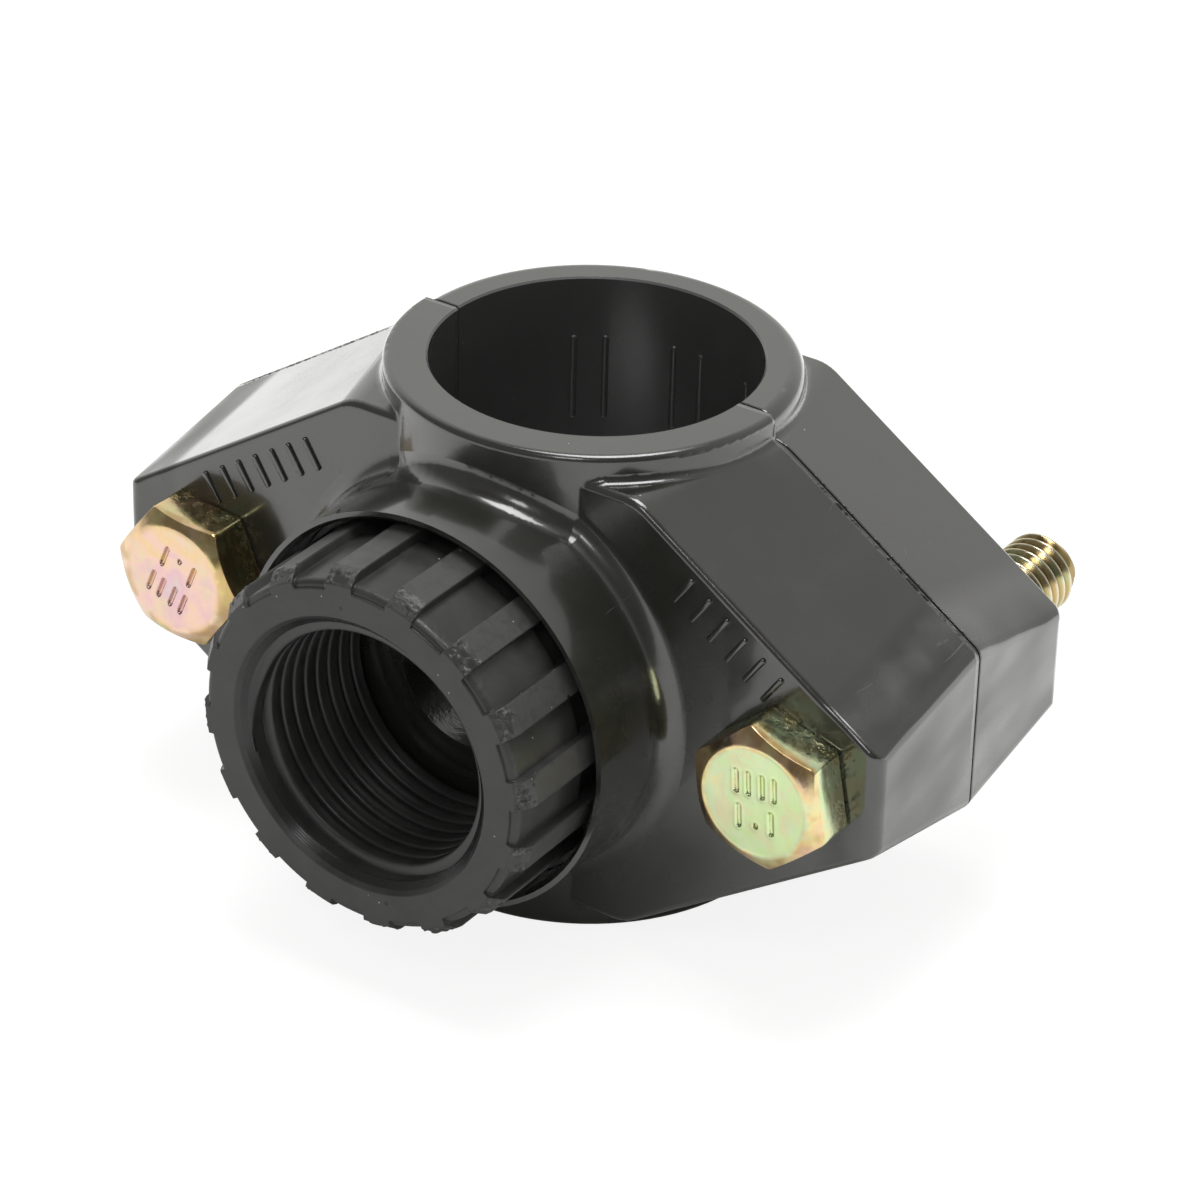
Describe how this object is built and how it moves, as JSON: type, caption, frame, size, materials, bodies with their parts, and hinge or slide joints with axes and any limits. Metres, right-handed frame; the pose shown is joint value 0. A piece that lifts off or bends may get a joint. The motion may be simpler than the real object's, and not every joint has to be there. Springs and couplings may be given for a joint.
{
  "type": "tapping saddle",
  "caption": "Bolted plastic clamp saddle that grips a 32 mm pipe and branches it off through a female threaded outlet.",
  "frame": {"origin": "where the axis of the pipe crosses the axis of the outlet, at the middle of the barrel", "axes": "+Z along the pipe, -Y out of the threaded outlet, +X towards one bolted wing; the halves part on Y = 0"},
  "size_m": [0.087, 0.0685, 0.0518],
  "materials": {
    "body_plastic": "glossy black moulded polypropylene",
    "insert_plastic": "satin black moulded plastic, scuffed at the ribs",
    "seal_rubber": "black nitrile rubber",
    "bolt_steel": "yellow passivated zinc on steel",
    "nut_steel": "yellow passivated zinc on steel"
  },
  "bodies": {
    "front_half": {"upper_saddle": "body_plastic", "outlet_insert": "insert_plastic", "saddle_seal": "seal_rubber"},
    "back_half": {"lower_saddle": "body_plastic", "nut_right": "nut_steel", "nut_left": "nut_steel"},
    "right_bolt": {"bolt_right": "bolt_steel"},
    "left_bolt": {"bolt_left": "bolt_steel"}
  },
  "joints": [
    {"name": "right_bolt_turn", "type": "hinge", "parent": "front_half", "child": "right_bolt", "pos_m": [0.03358, -0.0175, 0], "axis": [0, -1, 0], "range_deg": [0, 3600]},
    {"name": "left_bolt_turn", "type": "hinge", "parent": "front_half", "child": "left_bolt", "pos_m": [-0.03358, -0.0175, 0], "axis": [0, -1, 0], "range_deg": [0, 3600]},
    {"name": "back_half_slide", "type": "slide", "parent": "front_half", "child": "back_half", "axis": [0, 1, 0], "range_m": [0, 0.0125]}
  ],
  "couplings": [
    {"joint": "right_bolt_turn", "follows": "back_half_slide", "rad_per_m": 5026.5},
    {"joint": "left_bolt_turn", "follows": "back_half_slide", "rad_per_m": 5026.5}
  ]
}
